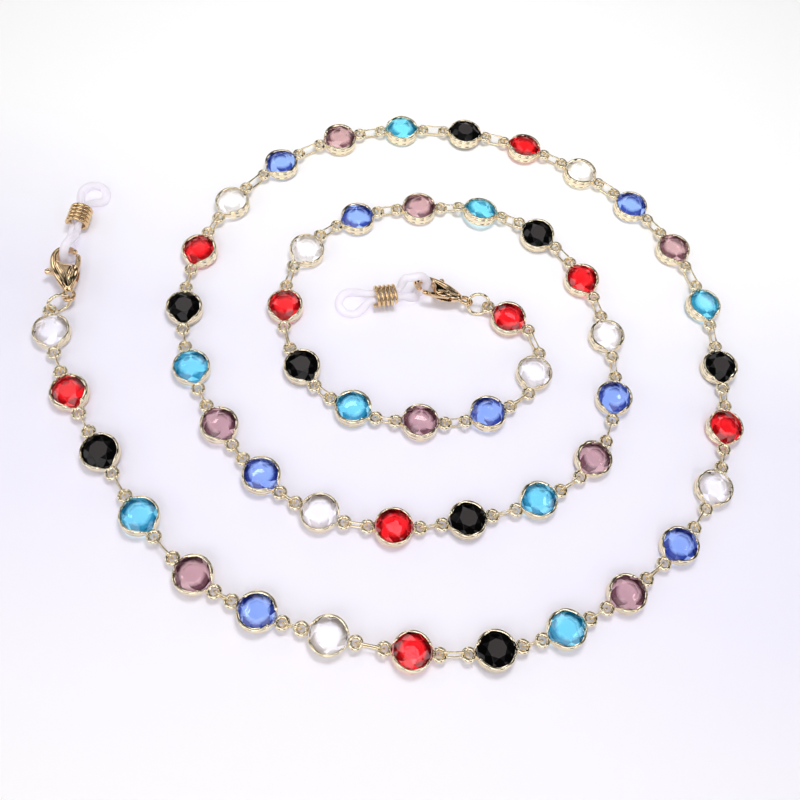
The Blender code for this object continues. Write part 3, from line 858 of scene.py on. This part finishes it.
def clasp(end):
    place = clasp_place(end)
    body = body_of(f"{end}_clasp_body")
    body_name = f"{end}_clasp_cast"
    lever_name = f"{end}_clasp_gate"
    pin_name = f"{end}_clasp_pin"
    spring_name = f"{end}_clasp_spring"
    add_piece(body_name, clasp_body_mesh(body_name), CLASP_GOLD, body, place,
              [f"{end}_clasp_body"])
    add_piece(lever_name, clasp_lever_mesh(lever_name), CLASP_GOLD, body_of(f"{end}_clasp_lever"),
              place, [f"{end}_clasp_lever"])
    add_piece(pin_name, pin_mesh(pin_name), COIL_GOLD, body, place)
    add_piece(spring_name, spring_mesh(spring_name), COIL_GOLD, body, place)


# ---------------------------------------------------------------- silicone loops and coils

def hermite(start, end, start_slope, end_slope, t):
    a = 2 * t ** 3 - 3 * t ** 2 + 1
    b = t ** 3 - 2 * t ** 2 + t
    c = -2 * t ** 3 + 3 * t ** 2
    d = t ** 3 - t ** 2
    return start * a + start_slope * b + end * c + end_slope * d


def hook_run(end, start, coil_in, axis):
    """Stations from the hook to the coil."""
    spec = LOOPS[end]
    lean = math.radians(spec["lean"])
    forward = clasp_place(end).to_3x3() @ Vector((math.cos(lean), -math.sin(lean), 0))
    forward.z = -abs(forward.z) / 2
    reach = (coil_in - start).length
    slopes = (forward * reach * HOOK_SLOPE, axis * reach)
    stations = []
    for step in range(HOOK_STEPS):
        t = step / HOOK_STEPS
        point = hermite(start, coil_in, *slopes, t)
        ahead = hermite(start, coil_in, *slopes, t + NUDGE)
        narrowed = ease((t - spec["narrowing"]) / (WAIST_END - spec["narrowing"]))
        spread = HOOK_BEND + (COIL_BEND - HOOK_BEND) * narrowed
        spread += spec["bulge"] * math.sin(math.pi * min(1.0, t / BULGE_END)) ** 2
        stations.append((point, (ahead - point).normalized(), spread, TWIST_IN * ease(t * TWIST_HASTE[0])))
    return stations


def temple_run(coil_out, temple, axis):
    """Stations from the coil to where the temple bend starts."""
    lobe = (temple - coil_out).length
    away = Vector((temple.x - coil_out.x, temple.y - coil_out.y, 0)).normalized()
    stations = []
    for step in range(1, TEMPLE_STEPS + 1):
        t = step / TEMPLE_STEPS
        point = hermite(coil_out, temple, axis * lobe, away * lobe, t)
        behind = hermite(coil_out, temple, axis * lobe, away * lobe, t - NUDGE)
        spread = COIL_BEND + (TEMPLE_BEND - COIL_BEND) * ease((t - OPENING_FROM) / (1 - OPENING_FROM))
        twist = TWIST_OUT + (1 - TWIST_OUT) * ease(t * TWIST_HASTE[1])
        stations.append((point, (point - behind).normalized(), spread, twist))
    return stations


def loop_spine(end):
    """Stations down the middle of a silicone loop: (point, direction, half spread, twist)."""
    coil = middle(corners_of(f"{end}_coil"))
    axis = joint_axis(f"coil_slide_{end}")
    coil_in = coil - axis * COIL_HALF
    coil_out = coil + axis * COIL_HALF
    stations = hook_run(end, joint_point(f"loop_swing_{end}"), coil_in, axis)
    for step in range(COIL_STEPS):
        t = step / (COIL_STEPS - 1)
        stations.append((coil_in.lerp(coil_out, t), axis, COIL_BEND, TWIST_IN + (TWIST_OUT - TWIST_IN) * t))
    return stations + temple_run(coil_out, coil + Vector(LOOPS[end]["temple"]) * MM, axis)


def loop_direction(direction, twist, clasp_normal):
    """Sideways from one strand to the other: square to the clasp at the hook, level at the temple bend."""
    level = direction.cross(UP).normalized()
    square = (clasp_normal - direction * clasp_normal.dot(direction)).normalized()
    angle = level.angle(square)
    sense = 1.0 if level.cross(square).dot(direction) > 0 else -1.0
    return Matrix.Rotation(sense * angle * (1 - twist), 3, direction) @ level


def bend(station, clasp_normal, sign):
    """The half circle that closes a loop: sign 1 beyond the last station, -1 before the first."""
    point, direction, spread, twist = station
    across = loop_direction(direction, twist, clasp_normal) * spread * sign
    return circle(point, across, direction * spread * sign, 23, 0, math.pi, True)[1:-1]


def silicone_loop(end):
    clasp_normal = clasp_place(end).to_3x3() @ UP
    if clasp_normal.z < 0:
        clasp_normal = -clasp_normal
    stations = loop_spine(end)
    first, last, radii = [], [], []
    for point, direction, spread, twist in stations:
        across = loop_direction(direction, twist, clasp_normal)
        squeeze = ease((spread - COIL_BEND) / SQUEEZE_RUN)
        radius = COIL_STRAND_RADIUS + (STRAND_RADIUS - COIL_STRAND_RADIUS) * squeeze
        lowest = point.z - spread * abs(across.z) - radius
        lift = UP * max(0.0, STRAND_CLEARANCE - lowest)
        first.append(point + lift + across * spread)
        last.append(point + lift - across * spread)
        radii.append(radius)
    temple_bend = bend(stations[-1], clasp_normal, 1)
    hook_bend = bend(stations[0], clasp_normal, -1)
    points = [*first, *temple_bend, *reversed(last), *hook_bend]
    ends = [STRAND_RADIUS] * len(temple_bend)
    work = bmesh.new()
    radii = [*radii, *ends, *reversed(radii), *ends]
    skin(work, tube_loops(points, radii, sides=18, closed=True), True)
    cad_node = f"{end}_silicone_loop"
    add_piece(f"{end}_temple_loop", mesh_from(cad_node, work, 80), SILICONE, body_of(cad_node),
              None, [cad_node])


def coil_slider(end):
    """A close coil of wire round both strands, its cut ends drawn in."""
    cad_node = f"{end}_coil"
    centre = middle(corners_of(cad_node))
    axis = joint_axis(f"coil_slide_{end}")
    level = UP.cross(axis).normalized()
    upward = axis.cross(level)
    count = COIL_TURNS * COIL_TURN_STEPS
    points = []
    for step in range(count + 1):
        turn = 2 * math.pi * step / COIL_TURN_STEPS
        travel = (step / count - 0.5) * COIL_TURNS * COIL_PITCH
        ring = level * math.cos(turn) + upward * math.sin(turn)
        points.append(centre + axis * travel + ring * COIL_RADIUS)
    work = bmesh.new()
    skin(work, tube_loops(points, rounded_tips(COIL_WIRE, len(points), reach=2), sides=14), False)
    add_piece(f"{end}_coil_slider", mesh_from(cad_node, work), COIL_GOLD, body_of(cad_node),
              None, [cad_node])


# ---------------------------------------------------------------- floor, light and camera

def floor():
    """A pale surface, white at the top and faintly lavender lower down, with painted shade darkest across
    the middle.
    """
    work = bmesh.new()
    bmesh.ops.create_grid(work, x_segments=8, y_segments=8, size=FLOOR_HALF)
    obj = bpy.data.objects.new("floor", mesh_from("floor", work))
    bpy.context.scene.collection.objects.link(obj)
    obj.location.z = -FLOOR_DROP
    mat, tree, shader = start_material("pale_floor")
    coordinates = node(tree, "ShaderNodeTexCoord")
    mapping = node(tree, "ShaderNodeMapping")
    mapping.inputs["Scale"].default_value = (0.0, 1 / TINT_AND_SHADE_LENGTH, 0.0)
    mapping.inputs["Location"].default_value = (0.5, 0.5, 0.0)
    split = node(tree, "ShaderNodeSeparateXYZ")
    tree.links.new(coordinates.outputs["Object"], mapping.inputs["Vector"])
    tree.links.new(mapping.outputs["Vector"], split.inputs["Vector"])
    # Painted shade: darkest across the middle, white towards the near and far sides
    tint = ramp(tree, split.outputs["Y"], FLOOR_TINTS_AND_SHADE)
    tree.links.new(tint, shader.inputs["Base Color"])
    shader.inputs["Roughness"].default_value = 0.55
    shader.inputs["Specular IOR Level"].default_value = 0.25
    obj.data.materials.append(mat)


def closeness(tree, direction, target):
    """The cosine of the angle between a direction in the sky and a target."""
    made = node(tree, "ShaderNodeVectorMath", operation="DOT_PRODUCT")
    tree.links.new(direction, made.inputs[0])
    made.inputs[1].default_value = Vector(target).normalized()
    return made.outputs["Value"]


def sky():
    """A bright studio dome with darker gaps for the gold to mirror; the camera sees a plain backdrop."""
    world = bpy.data.worlds.new("studio")
    bpy.context.scene.world = world
    world.use_nodes = True
    tree = world.node_tree
    background = tree.nodes["Background"]
    direction = node(tree, "ShaderNodeTexCoord").outputs["Generated"]
    split = node(tree, "ShaderNodeSeparateXYZ")
    tree.links.new(direction, split.inputs["Vector"])
    gap = ramp(tree, closeness(tree, direction, GAP_DIRECTION), [(0.90, 1.0), (0.95, 0.22)])
    patches = node(tree, "ShaderNodeTexNoise", Scale=2.4, Detail=2.0)
    tree.links.new(direction, patches.inputs["Vector"])
    panels = ramp(tree, patches.outputs["Fac"], [(0.52, 0.02), (0.57, 1.0)])
    horizon = ramp(tree, split.outputs["Z"], [(0.18, 0.04), (0.30, 1.0)])
    dome = math_node(tree, "MULTIPLY", math_node(tree, "MULTIPLY", panels, gap), horizon)
    tree.links.new(math_node(tree, "MULTIPLY", dome, DOME_STRENGTH), background.inputs["Strength"])
    background.inputs["Color"].default_value = (1.0, 0.985, 1.0, 1.0)
    plain = node(tree, "ShaderNodeBackground", Color=BACKDROP)
    mix = node(tree, "ShaderNodeMixShader")
    tree.links.new(node(tree, "ShaderNodeLightPath").outputs["Is Camera Ray"], mix.inputs[0])
    tree.links.new(background.outputs[0], mix.inputs[1])
    tree.links.new(plain.outputs[0], mix.inputs[2])
    tree.links.new(mix.outputs[0], tree.nodes["World Output"].inputs["Surface"])


def lamp():
    """A round soft lamp behind the strap, high up, close enough for the shadows to fan out."""
    data = bpy.data.lights.new("lamp", "AREA")
    data.shape = "DISK"
    data.size = LAMP_SIZE
    data.energy = LAMP_POWER
    obj = bpy.data.objects.new("lamp", data)
    bpy.context.scene.collection.objects.link(obj)
    facing = (CAMERA_TARGET - LAMP_PLACE).to_track_quat("-Z", "Y").to_matrix().to_4x4()
    obj.matrix_world = Matrix.Translation(LAMP_PLACE) @ facing
    obj.visible_camera = False
    obj.visible_glossy = False


def camera():
    tilt = math.radians(CAMERA_ELEVATION)
    forward = Vector((0, math.cos(tilt), -math.sin(tilt)))
    upward = Vector((0, math.sin(tilt), math.cos(tilt)))
    facing = Matrix((Vector((1, 0, 0)), upward, -forward)).transposed().to_4x4()
    data = bpy.data.cameras.new("camera")
    data.sensor_width = 36
    data.lens = CAMERA_LENS
    data.clip_start = 0.005
    obj = bpy.data.objects.new("camera", data)
    bpy.context.scene.collection.objects.link(obj)
    roll = Matrix.Rotation(math.radians(CAMERA_ROLL), 4, "Z")
    obj.matrix_world = Matrix.Translation(CAMERA_TARGET - forward * CAMERA_DISTANCE) @ facing @ roll
    bpy.context.scene.camera = obj


build_crystals()
for strap_end in ("outer", "inner"):
    jump_ring(strap_end)
    clasp(strap_end)
    silicone_loop(strap_end)
    coil_slider(strap_end)
floor()
sky()
lamp()
camera()
bpy.context.scene.view_settings.view_transform = "Standard"
